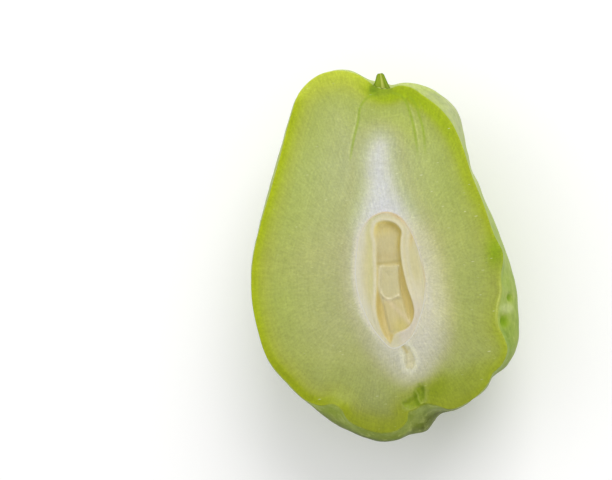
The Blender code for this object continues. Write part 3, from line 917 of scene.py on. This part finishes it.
def skin_material():
    s = Shader("squash_skin", roughness=0.5, specular=0.12)
    patches = s.noise(12.0, detail=4.0, roughness=0.6, stretch=(1.0, 1.8, 1.0))
    mottle = s.noise(2.6, detail=4.0, roughness=0.65, stretch=(1.0, 1.5, 1.0))
    streaks = s.noise(0.9, detail=3.0, roughness=0.6, stretch=(1.0, 4.0, 1.0))
    pores = s.noise(0.7, detail=2.0)
    colour = s.field("paint", "Color")
    colour = s.tint(colour, patches, 0.40, 0.70, 0.30, (186, 198, 112))
    colour = s.tint(colour, mottle, 0.50, 0.72, 0.40, (184, 194, 110))
    colour = s.tint(colour, mottle, 0.46, 0.28, 0.40, (112, 140, 46))
    colour = s.shade(colour, streaks, 0.76, 1.24)
    colour = s.shade(colour, pores, 0.92, 1.08)
    # painted shade: darker green in the furrows, creases and dimples
    colour = s.tint(colour, s.field("furrow"), 0.25, 0.95, 0.75, (112, 146, 10))
    wrinkle = s.noise(3.2, detail=4.0, roughness=0.55, stretch=(1.0, 1.8, 1.0))
    fine = s.bump(streaks, 0.10, 0.5, s.bump(pores, 0.05, 0.5))
    s.set(Base_Color=colour, Normal=s.bump(wrinkle, 0.30, 0.6, fine))
    s.translucent(0.10, (1.6, 2.0, 0.6))
    return s.material


def skin_paint(points):
    """The skin's colours before its mottling: darker towards the blossom end partly as painted shade,
    with painted shade under it, round its widest level and in some patches.
    """
    colour = by_stops(points[:, 1], SKIN_TONE_AND_SHADE_BY_HEIGHT)
    for middle, reach, other, share in SKIN_PATCHES:
        off = np.linalg.norm((points - middle) / reach, axis=1)
        colour = blend(colour, share * smoothstep(1.2, 0.4, off), other)
    y, z = points[:, 1], points[:, 2]
    # painted shade on the underside at the blossom end and round its widest level
    blossom_end = smoothstep(-26.0, -38.0, y)
    colour = blend(colour, 0.6 * smoothstep(-4.0, -9.0, z) * blossom_end, SKIN_UNDERSIDE_SHADE)
    limb = smoothstep(-3.5, -7.5, z) * smoothstep(-24.0, -11.0, z) * blossom_end
    return colour * (1 - np.outer(limb, SKIN_LIMB_SHADE))


# ---- The squash half ----


def make_squash():
    angles, cut_radii = polar(smooth_curve(CUT_OUTLINE, OUTLINE_STEPS))
    skin, in_furrow = skin_rings(angles, cut_radii)
    lip = [
        round_ring(angles, cut_radii - LIP * (1 - math.cos(turn)), LIP * (math.sin(turn) - 1))
        for turn in np.linspace(0, math.pi / 2, LIP_RINGS + 2)[1:-1]
    ]
    flat = face_rings(angles, cut_radii)
    face = [np.column_stack([ring, face_level(ring)]) for ring in flat]
    pocket = bowl_rings(angles, 0.0, 0.0, POCKET_RINGS)[1:]
    rings = skin + lip + face + pocket
    fit_to_frame(rings)
    fields = squash_fields(rings, in_furrow)
    first_flesh = len(skin) + len(lip) // 2
    mesh = ring_mesh("squash_half_cut", rings, fields, lambda ring: int(ring >= first_flesh))
    return piece("squash_half_cut", mesh, "squash_half", [skin_material(), flesh_material()])


def squash_fields(rings, in_furrow):
    """What the materials need to know at each point: its own colour, how far from the white flesh's
    strings, cleft and root tip it lies, how deep in a furrow, and which way the fibres run."""
    points = np.concatenate(rings)
    flat, count = points[:, :2], len(rings[0])
    edge = inside(flat, CUT_OUTLINE, steps=OUTLINE_STEPS)
    pith = inside(flat, PITH_OUTLINE)
    on_skin = np.arange(len(points)) < len(in_furrow) * count
    mouth = -inside(flat, SEED_OUTLINE)
    paint = np.where(on_skin[:, None], skin_paint(points), flesh_paint(flat, edge, pith, mouth))
    values = {
        "paint": linear(paint),
        "cleft": inside(flat, CLEFT_OUTLINE, CLEFT_CENTRE),
        "cleft_fold": line_gap(flat, CLEFT_FOLD),
        "cleft_shade": np.min([line_gap(flat, line) + less for line, less in CLEFT_SHADE], axis=0),
        "radicle": inside(flat, RADICLE_OUTLINE, RADICLE_CENTRE),
        "radicle_line": line_gap(flat, RADICLE_LINE),
        "fibre_way": fibre_way(flat),
        "arc_way": arc_way(flat, edge),
    }
    for key, line in VEINS.items():
        values[key] = across(flat, line)
    fields = {key: value.reshape(-1, count, *value.shape[1:]) for key, value in values.items()}
    shallow = np.zeros((len(rings) - len(in_furrow), count))
    fields["furrow"] = np.concatenate([np.array(in_furrow), shallow])
    return fields


# ---- The seed coat ----

COAT_GAP, COAT_THICKNESS = 0.02, 0.45  # the gap is left outside the coat and inside it
SEED_INSET = COAT_GAP + COAT_THICKNESS + COAT_GAP
COAT_TOP = -0.02
COAT_RIM = 0.06  # narrow rings inside both edges of its cut face


def coat_material():
    s = Shader("seed_coat_skin", roughness=0.35)
    grain = s.noise(0.7, detail=2.0)
    colour = s.shade(s.field("paint", "Color"), grain, 0.92, 1.06)
    s.set(Base_Color=colour, Normal=s.bump(grain, 0.05, 0.4))
    s.translucent(0.2, (2.0, 1.5, 0.8))
    return s.material


def coat_paint(angles):
    """The coat is orange at the top, brown down the right, and pale down the left and below."""
    colour = np.tile((213.0, 210.0, 190.0), (len(angles), 1))
    colour = blend(colour, 0.85 * bell(angles, 1.40, 0.45), (218, 194, 146))
    return linear(blend(colour, 0.75 * bell(angles, 0.0, 0.45), (206, 188, 136)))


def make_coat():
    angles = np.linspace(-math.pi, math.pi, SEED_POINTS, endpoint=False)
    outside = bowl_rings(angles, COAT_GAP, COAT_TOP, BOWL_RINGS)[::-1]
    inside_face = bowl_rings(angles, COAT_GAP + COAT_THICKNESS, COAT_TOP, BOWL_RINGS)
    insets = (COAT_GAP + COAT_RIM, COAT_GAP + COAT_THICKNESS - COAT_RIM)
    radii = radius_at(SEED_OUTLINE, angles)
    rims = [round_ring(angles, radii - inset, COAT_TOP) for inset in insets]
    rings = outside + rims + inside_face
    paint = [coat_paint(angles)] * len(rings)
    mesh = ring_mesh("orange_seed_coat", rings, {"paint": paint})
    return piece("orange_seed_coat", mesh, "seed_coat", [coat_material()])


# ---- The seed ----

HOLLOW_OUTLINE = (
    (0.9, 19.4), (-2.1, 19.2), (-3.4, 16.8), (-3.4, 12.0), (-3.9, 7.5), (-4.3, 2.5), (-5.0, -2.5),
    (-5.8, -6.5), (-6.0, -10.5), (-5.5, -14.0), (-4.7, -17.0), (-3.7, -19.0), (-2.5, -20.5),
    (-1.7, -19.6), (-0.6, -17.6), (1.7, -16.9), (3.7, -16.2), (5.7, -14.1), (6.7, -11.0),
    (6.5, -7.8), (5.7, -4.1), (5.1, 0.0), (4.7, 5.0), (4.8, 9.0), (5.3, 12.4), (5.9, 15.0),
    (4.4, 17.8),
)
HOLLOW_CENTRE = (0.2, 0.5)
EMBRYO_OUTLINE = (  # what lies in the hollow: a shelf, and a tongue below it
    (-3.0, 5.4), (-3.6, 2.1), (-4.2, -1.8), (-3.9, -5.0), (-3.3, -8.0), (-3.1, -10.5), (-2.8, -12.6),
    (-2.4, -15.2), (-1.4, -17.2), (0.6, -17.8), (3.0, -17.2), (5.2, -15.6), (4.4, -13.0),
    (3.6, -10.0), (3.0, -6.8), (2.7, -3.4), (2.8, -0.2), (3.1, 2.6), (3.5, 4.6), (1.2, 4.9),
    (-1.0, 5.1),
)
EMBRYO_CENTRE = (0.2, -5.0)
SHELF_RIM = (
    (-2.7, 4.6), (-3.4, 1.4), (-3.7, -2.2), (-3.2, -4.6), (-1.7, -5.8), (0.0, -5.7), (1.8, -5.2),
)
SHELF_RIM_HEIGHT, SHELF_RIM_WIDTH = 0.35, 0.45
BAND_LINE = ((-1.9, -5.9), (0.1, -8.6), (2.6, -11.7), (4.4, -14.2))
HOLLOW_WALL, HOLLOW_WALL_LEFT = 0.6, 1.4  # how far in its walls reach, and on the left
HOLLOW_FOOT, HOLLOW_FOOT_LEFT = 2.2, 3.4  # the same for the curve at their foot
LOBE_SINK = 0.12  # how far the seed's two lobes lie under their borders
BASIN_DEPTH, SLOT_DEPTH = 2.2, 2.3
SHELF_DEPTH, TONGUE_START_DEPTH, TONGUE_TIP_DEPTH = 1.5, 1.8, 0.7
SLOT_RISE = 0.45  # how much shallower the slots beside the tongue get towards its tip
EMBRYO_SAG = 0.25  # how much lower its top is well inside its outline
# Where each of these sets in, and where it is complete.
HOLLOW_LEFT_X = (1.0, -2.5)  # the left side's own wall and foot
SLOT_Y, SLOT_RISE_Y, TONGUE_Y = (6.0, -6.0), (-7.0, -18.0), (-5.0, -16.5)
SHELF_END_Y, SHELF_END_SLANT = (-4.8, -6.2), 0.25  # lower on the right by the slant
EMBRYO_WALL, EMBRYO_SAG_REACH = (-0.5, 0.6), (1.5, 4.0)  # distances inside the embryo's outline
HOLLOW_EDGE = -0.2  # how far inside the hollow's outline the curve at its foot starts
LOBE_INNER, LOBE_OUTER = (0.2, 1.4), (0.3, 1.6)  # distances from the lobes' borders
SEED_WAVE_SIZE, SEED_WAVE_HEIGHT, SEED_WAVE_SEED = 1.6, 0.05, 9
SEED_TOP = -0.06
SEED_RIM = 0.006  # the narrow ring round the cut face, as a share of its radius
SEED_LOBE, SEED_BASIN = (205.0, 198.0, 150.0), (201.0, 191.0, 141.0)  # their plain colours
# the seed's overall level, and how much darker painted shade makes its lower part
SEED_LEVEL, SEED_LOW_SHADE = 0.968, 0.028
SEED_RIM_PAINTED_LIGHT = (0.06, 0.05, 0.02)  # painted light: the lobes' outer edge is this much lighter, which offsets the shade at the gap round the seed


def hollow_floor(y, hollow, left):
    """Depth of the hollow's floor, with the slots beside the tongue."""
    depth = between(BASIN_DEPTH, SLOT_DEPTH, smoothstep(*SLOT_Y, y))
    depth *= 1 - SLOT_RISE * smoothstep(*SLOT_RISE_Y, y)
    foot = between(HOLLOW_FOOT, HOLLOW_FOOT_LEFT, left)
    return depth * np.sqrt(smoothstep(HOLLOW_EDGE, foot, hollow))


def embryo_top(x, y, embryo):
    """Depth of the embryo's top: a level shelf, and a tongue that rises towards its tip."""
    tongue = between(TONGUE_START_DEPTH, TONGUE_TIP_DEPTH, smoothstep(*TONGUE_Y, y))
    past_shelf = smoothstep(*SHELF_END_Y, y + SHELF_END_SLANT * x)
    sag = EMBRYO_SAG * smoothstep(*EMBRYO_SAG_REACH, embryo)
    return between(SHELF_DEPTH, tongue, past_shelf) + sag


def seed_relief(points):
    """(depth of the seed's cut face, its colour) at each point."""
    x, y = points.T
    hollow = inside(points, HOLLOW_OUTLINE, HOLLOW_CENTRE)
    embryo = inside(points, EMBRYO_OUTLINE, EMBRYO_CENTRE)
    rim, shelf_rim = inside(points, SEED_OUTLINE), line_gap(points, SHELF_RIM)
    left = smoothstep(*HOLLOW_LEFT_X, x)
    lowest = hollow_floor(y, hollow, left)
    raised = smoothstep(*EMBRYO_WALL, embryo)
    depth = between(lowest, np.minimum(embryo_top(x, y, embryo), lowest), raised)
    depth -= SHELF_RIM_HEIGHT * bell(shelf_rim, 0.0, SHELF_RIM_WIDTH) * raised
    depth *= smoothstep(0.0, between(HOLLOW_WALL, HOLLOW_WALL_LEFT, left), hollow)
    depth += LOBE_SINK * smoothstep(*LOBE_INNER, -hollow) * smoothstep(*LOBE_OUTER, rim)
    depth += SEED_WAVE_HEIGHT * noise_at(points, SEED_WAVE_SIZE, SEED_WAVE_SEED)
    return depth, linear(seed_paint(x, y, hollow, embryo, rim, shelf_rim))


def seed_paint(x, y, hollow, embryo, rim, shelf_rim):
    """The seed's colours: cream lobes with white borders, and an ochre hollow, with painted shade darker
    towards its lower end.
    """
    lobes = lobe_paint(x, y, hollow, rim)
    inner = hollow_paint(x, y, hollow, embryo, shelf_rim)
    # painted shade, darker towards the seed's lower end
    level = SEED_LEVEL - SEED_LOW_SHADE * smoothstep(-4.0, -16.0, y)
    return blend(lobes, smoothstep(-0.1, 0.7, hollow), inner) * level[:, None]


def lobe_paint(x, y, hollow, rim):
    """The two seed leaves' colours: paler at their borders, with fibres low on the right, and painted
    light along their outer edge.
    """
    left = smoothstep(1.5, -1.5, x + 0.02 * y)
    right = 1 - left
    layers = (
        (left * smoothstep(4.2, 0.8, rim), (210, 206, 180)),
        (0.50 * right * smoothstep(2.0, 0.3, rim), (208, 203, 170)),
        (0.70 * left * bell(hollow, -1.7, 0.9) * smoothstep(-8.0, 2.0, y), (202, 198, 140)),
        (0.75 * bell(hollow, -0.35, 0.55), (215, 209, 180)),  # the border of the hollow
        (0.60 * right * bell(hollow, -1.9, 0.8) * smoothstep(-12.0, -4.0, y), (213, 207, 178)),
        (0.60 * right * smoothstep(2.0, -5.0, y) * smoothstep(0.3, 1.6, rim), (216, 210, 182)),
        (0.90 * right * bell(hollow, -3.4, 0.7) * bell(y, 13.8, 3.4), (206, 186, 130)),  # a streak
        (0.80 * smoothstep(1.5, 0.7, rim) * spot(x, y, (4.6, 19.0), 3.2), (216, 190, 138)),
        (0.85 * right * smoothstep(-4.0, -12.0, y), (210, 202, 182)),
        (0.40 * left * smoothstep(-8.0, -14.0, y), (206, 200, 158)),
    )
    colour = paint_over(np.tile(SEED_LOBE, (len(x), 1)), layers)
    # painted light along the outer edge, which offsets the shade at the gap round the seed
    return colour * (1 + np.outer(smoothstep(0.6, 0.0, rim - SEED_INSET), SEED_RIM_PAINTED_LIGHT))


def hollow_paint(x, y, hollow, embryo, shelf_rim):
    """The hollow's colours: its walls and floor, then the slots, the tongue and the shelf in it, with
    painted light on its left side and top and painted shade on its right wall and above the shelf.
    """
    top_wall = smoothstep(2.0, 0.4, hollow) * smoothstep(14.0, 17.5, y)
    right_wall = bell(hollow, 0.7, 1.2) * smoothstep(-1.0, 3.0, x)
    slot = smoothstep(0.3, -0.7, embryo) * smoothstep(7.0, 3.0, y)
    tongue = smoothstep(-0.2, 0.5, embryo) * smoothstep(-5.0, -7.5, y)
    shelf = smoothstep(-0.1, 0.6, embryo) * smoothstep(-6.5, -4.5, y)
    band = line_gap(np.column_stack([x, y]), BAND_LINE)
    layers = (
        # painted light on the left side of the hollow
        (0.60 * smoothstep(-0.5, -3.0, x), (208, 199, 156)),
        # painted light over the top of the hollow, strongest on its top wall, which offsets the shade
        # there
        (0.80 * smoothstep(13.0, 18.0, y), (226, 211, 136)),
        (0.90 * top_wall * smoothstep(-4.0, 0.0, x), (250, 236, 156)),
        # the right wall: partly the hollow's own ochre, partly painted shade
        (0.85 * right_wall, (200, 182, 100)),
        (0.50 * bell(y, 8.0, 1.6), (194, 180, 126)),  # the shade above the shelf, and its darkest line
        (0.60 * bell(y, 5.9, 0.6), (176, 164, 104)),
        (slot, (204, 185, 112)),
        (0.40 * slot * smoothstep(2.0, 4.5, x), (212, 194, 116)),
        (0.30 * slot * smoothstep(-9.0, -16.0, y), (214, 198, 138)),
        (tongue, (200, 188, 134)),
        (0.75 * spot(x, y, (1.4, -15.0), 2.6), (205, 192, 110)),
        (shelf, (200, 192, 146)),
        (0.70 * bell(band, 0.0, 0.8), (213, 198, 156)),
        (0.80 * bell(shelf_rim, 0.0, 0.5) * smoothstep(6.8, 4.0, y), (217, 209, 172)),
    )
    return paint_over(np.tile(SEED_BASIN, (len(x), 1)), layers)


def seed_material():
    s = Shader("seed_flesh", roughness=0.40, specular=0.4)
    grain = s.noise(0.7, detail=3.0)
    streak = s.noise(0.6, detail=2.0, stretch=(1.0, 7.0, 1.0))
    colour = s.shade(s.field("paint", "Color"), grain, 0.92, 1.08)
    colour = s.shade(colour, streak, 0.90, 1.10)
    s.set(Base_Color=colour, Normal=s.bump(streak, 0.08, 0.4, s.bump(grain, 0.06, 0.4)))
    s.translucent(0.35, (2.0, 1.7, 1.2))
    return s.material


def make_seed():
    angles = np.linspace(0, 2 * math.pi, SEED_POINTS, endpoint=False)
    radii = radius_at(SEED_OUTLINE, angles) - SEED_INSET
    outside = bowl_rings(angles, SEED_INSET, SEED_TOP, BOWL_RINGS)[::-1]
    face, paints = [], []
    for share in np.linspace(1 - SEED_RIM, 0, SEED_FACE_RINGS + 1):
        flat = round_ring(angles, radii * share)
        depth, paint = seed_relief(flat)
        face.append(np.column_stack([flat, SEED_TOP - depth]))
        paints.append(paint)
    paint = [paints[0]] * len(outside) + paints
    mesh = ring_mesh("cut_seed", outside + face, {"paint": paint})
    return piece("cut_seed", mesh, "seed", [seed_material()])


# ---- The stem stub ----

STEM_TIP_Y = 67.3
STEM_BASE_RADIUS, STEM_TIP_RADIUS = 2.4, 1.0
STEM_TAPER = 1.1
STEM_TIP_ROUNDING, STEM_ROUNDED_FROM = 0.30, 0.86  # how much narrower its end is, from which share
STEM_RIBS, STEM_RIB_HEIGHT = 5, 0.13
STEM_GROOVES, STEM_GROOVE_DEPTH = 3, 0.22  # down the cut side; the depth is a share of the radius
STEM_GROOVE_FADE = 0.4  # how much shallower they are at its sides
STEM_PALE_STRIPS = ((0.12, 0.3, 1.0), (-0.5, 0.2, 0.35))  # core down the cut side: place, width, share
STEM_FACE_POINTS = 48
STEM_SINK = 0.05  # how far its cut side lies under the fruit's
STEM_GAP = 0.05  # between its foot and the skin
PIT_STEPS = 8  # rounds of searching for that skin
STEM_BY_CORE = (  # from its green outside to the pale core
    (0.0, (128, 154, 4)), (0.4, (144, 166, 30)), (0.8, (164, 176, 62)), (1.0, (178, 188, 84)),
)


def stem_material():
    s = Shader("stem_fibre", roughness=0.55, specular=0.3)
    streak = s.noise(0.30, detail=3.0, stretch=(1.0, 6.0, 1.0))
    colour = s.ramp(s.field("core"), 0.0, 1.0, STEM_BY_CORE)
    # painted shade: darker towards the stub's foot, where it meets the fruit
    colour = s.shade(colour, s.field("rise"), 0.88, 1.0)
    colour = s.shade(colour, streak, 0.82, 1.14)
    s.set(Base_Color=colour, Normal=s.bump(streak, 0.15, 0.6))
    return s.material


def stem_pit_y(x, z):
    """Where the skin at the stem is, straight up the fruit from these points."""
    y = np.full(len(x), CUT_OUTLINE[0][1])
    swell = np.sin(-z / WIDEST_DEPTH * math.pi / 2)
    for _ in range(PIT_STEPS):
        angles = np.arctan2(y, x)
        cut, widest = radius_at(CUT_OUTLINE, angles), radius_at(WIDEST_OUTLINE, angles)
        y = np.sqrt(between(cut, widest, swell) ** 2 - x * x)
    return y


def stem_section():
    """(x, z, how much pale core shows) round a stub of radius 1: ribs behind, grooves in front."""
    back = np.linspace(0, -math.pi, STEM_POINTS)
    front = np.linspace(-1, 1, STEM_FACE_POINTS + 2)[1:-1]
    ribs = 1 + STEM_RIB_HEIGHT * np.cos(back * 2 * STEM_RIBS)
    grooves = (1 - np.cos(front * STEM_GROOVES * math.pi)) / 2 * (1 - STEM_GROOVE_FADE * front**2)
    x = np.concatenate([ribs * np.cos(back), (1 + STEM_RIB_HEIGHT) * front])
    z = np.concatenate([ribs * np.sin(back), -STEM_GROOVE_DEPTH * grooves])
    pale = sum(share * bell(front, place, width) for place, width, share in STEM_PALE_STRIPS)
    return x, z, np.concatenate([np.zeros(STEM_POINTS), pale])


def make_stem():
    """A ribbed stub, cut along its length."""
    section_x, section_z, core = stem_section()
    rings, rises = [], []
    for share in np.linspace(0, 1, STEM_RINGS + 1):
        radius = between(STEM_TIP_RADIUS, STEM_BASE_RADIUS, (1 - share) ** STEM_TAPER)
        radius *= 1 - STEM_TIP_ROUNDING * smoothstep(STEM_ROUNDED_FROM, 1.0, share)
        x, z = STEM_X + radius * section_x, radius * section_z - STEM_SINK
        base = stem_pit_y(x, np.minimum(z, -0.01)) + STEM_GAP
        rings.append(np.column_stack([x, between(base, STEM_TIP_Y, share), z]))
        rises.append(np.full(len(x), smoothstep(0.0, 0.5, share)))
    fields = {"core": [core] * len(rings), "rise": rises}
    mesh = ring_mesh("ribbed_stem_stub", rings, fields)
    return piece("ribbed_stem_stub", mesh, "stem_stub", [stem_material()])


# ---- Floor, light and camera ----

CAMERA_DISTANCE = 0.56
CAMERA_RIGHT_DEG, CAMERA_BELOW_DEG = 10.0, 8.0  # the camera's place round the cut face's own normal
PICTURE_LEAN_DEG = 7.0  # how far the fruit leans to the left in the picture
PICTURE_OFFSET = (-0.02705, 0.01288)  # the picture's middle from the seed's middle, right and up
SENSOR = 0.036
FRAME_WIDTH_AT_SEED = 0.19706
LIGHTS = (  # name, place, size, power, colour
    ("key", (0.55, 1.05, 1.05), 1.1, 13.5, (1.0, 0.99, 0.98)),
    ("fill", (-1.2, 0.3, 1.3), 1.2, 2.5, (1.0, 1.0, 1.0)),
)
SKY_STRENGTH = 0.75
FLOOR_REACH = 3.0  # from its middle to each side
FLOOR_WHITE = 0.97


def camera_axes():
    """(right, up, back) of the camera, as unit vectors."""
    tilt_right = math.tan(math.radians(CAMERA_RIGHT_DEG))
    tilt_below = math.tan(math.radians(CAMERA_BELOW_DEG))
    back = Vector((tilt_right, -tilt_below, 1.0)).normalized()
    along = Vector((0.0, 1.0, 0.0))
    along = (along - back * along.dot(back)).normalized()
    lean = math.radians(PICTURE_LEAN_DEG)
    up = along * math.cos(lean) + along.cross(back) * math.sin(lean)
    return up.cross(back), up, back


def make_camera():
    right, up, back = camera_axes()
    seed_middle = Vector(placed([0.0, 0.0, 0.0]))
    data = bpy.data.cameras.new("camera")
    data.sensor_width = SENSOR / MM
    data.lens = SENSOR / MM * CAMERA_DISTANCE / FRAME_WIDTH_AT_SEED
    camera = shown("camera", data)
    where = seed_middle + back * CAMERA_DISTANCE + right * PICTURE_OFFSET[0] + up * PICTURE_OFFSET[1]
    turn = Matrix((right, up, back)).transposed().to_4x4()
    camera.matrix_world = Matrix.Translation(where) @ turn
    bpy.context.scene.camera = camera


def floor_material():
    s = Shader("floor", roughness=0.7, specular=0.2)
    s.set(Base_Color=(FLOOR_WHITE, FLOOR_WHITE, FLOOR_WHITE, 1.0))
    return s.material


def make_floor():
    corners = [(x * FLOOR_REACH, y * FLOOR_REACH, 0) for x, y in ((-1, -1), (1, -1), (1, 1), (-1, 1))]
    mesh = bpy.data.meshes.new("floor")
    mesh.from_pydata(corners, [], [(0, 1, 2, 3)])
    mesh.materials.append(floor_material())
    shown("floor", mesh)


def make_lights():
    for name, place, size, power, colour in LIGHTS:
        data = bpy.data.lights.new(name, "AREA")
        data.size = size
        data.energy = power
        data.color = colour
        light = shown(name, data)
        light.location = place
        light.rotation_euler = Vector(place).to_track_quat("Z", "Y").to_euler()
    world = bpy.data.worlds.new("studio")
    world.use_nodes = True
    sky = world.node_tree.nodes["Background"].inputs
    sky["Color"].default_value = (1.0, 1.0, 1.0, 1.0)
    sky["Strength"].default_value = SKY_STRENGTH
    bpy.context.scene.world = world
    bpy.context.scene.view_settings.view_transform = "Standard"


make_squash()
make_coat()
make_seed()
make_stem()
make_floor()
make_lights()
make_camera()
